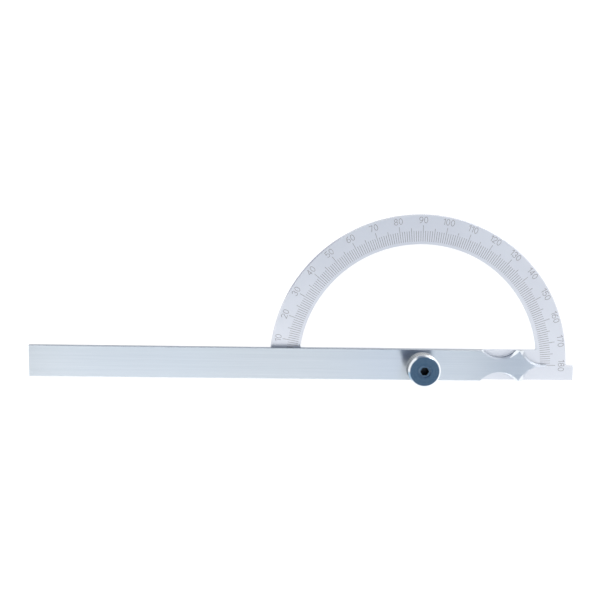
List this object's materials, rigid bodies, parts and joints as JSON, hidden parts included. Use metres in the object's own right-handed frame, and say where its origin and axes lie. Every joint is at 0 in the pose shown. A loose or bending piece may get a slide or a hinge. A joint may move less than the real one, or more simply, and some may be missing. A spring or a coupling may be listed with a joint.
{
  "type": "bevel protractor",
  "caption": "Steel protractor: half-round degree plate over a straight base bar, long swinging arm with a bevelled pointer, knurled clamp knob on the pivot.",
  "frame": {"origin": "on the pivot axis, at the flush back of the degree plate", "axes": "+Z out of the graduated face, +X to the 180 mark, +Y to the 90 mark"},
  "size_m": [0.218, 0.0663, 0.0168],
  "materials": {
    "plate_satin": "fine satin, pale and even",
    "arm_brushed": "brushed lengthwise",
    "turned_steel": "turned",
    "spring_steel": "dark spring steel",
    "knob_plated": "bright plating over a straight knurl",
    "screw_steel": "plain plated screw",
    "scale_marks": "matt dark fill in the etched degree marks and numerals"
  },
  "bodies": {
    "plate": {"scale_plate": "plate_satin", "pivot_bush": "turned_steel"},
    "arm": {"swing_arm": "arm_brushed", "spring_washer": "spring_steel"},
    "washer": {"thrust_washer": "turned_steel"},
    "knob": {"clamp_knob": "knob_plated", "clamp_screw": "screw_steel"}
  },
  "joints": [
    {"name": "arm_swing", "type": "hinge", "parent": "plate", "child": "arm", "pos_m": [0, 0, 0.003], "axis": [0, 0, 1], "range_deg": [0, 180]},
    {"name": "knob_lift", "type": "slide", "parent": "plate", "child": "washer", "axis": [0, 0, 1], "range_m": [0, 0.0008]},
    {"name": "knob_turn", "type": "hinge", "parent": "washer", "child": "knob", "pos_m": [0, 0, 0.012], "axis": [0, 0, 1], "range_deg": [0, 360]}
  ],
  "couplings": [
    {"joint": "knob_lift", "follows": "knob_turn", "m_per_rad": 0.00012732}
  ]
}
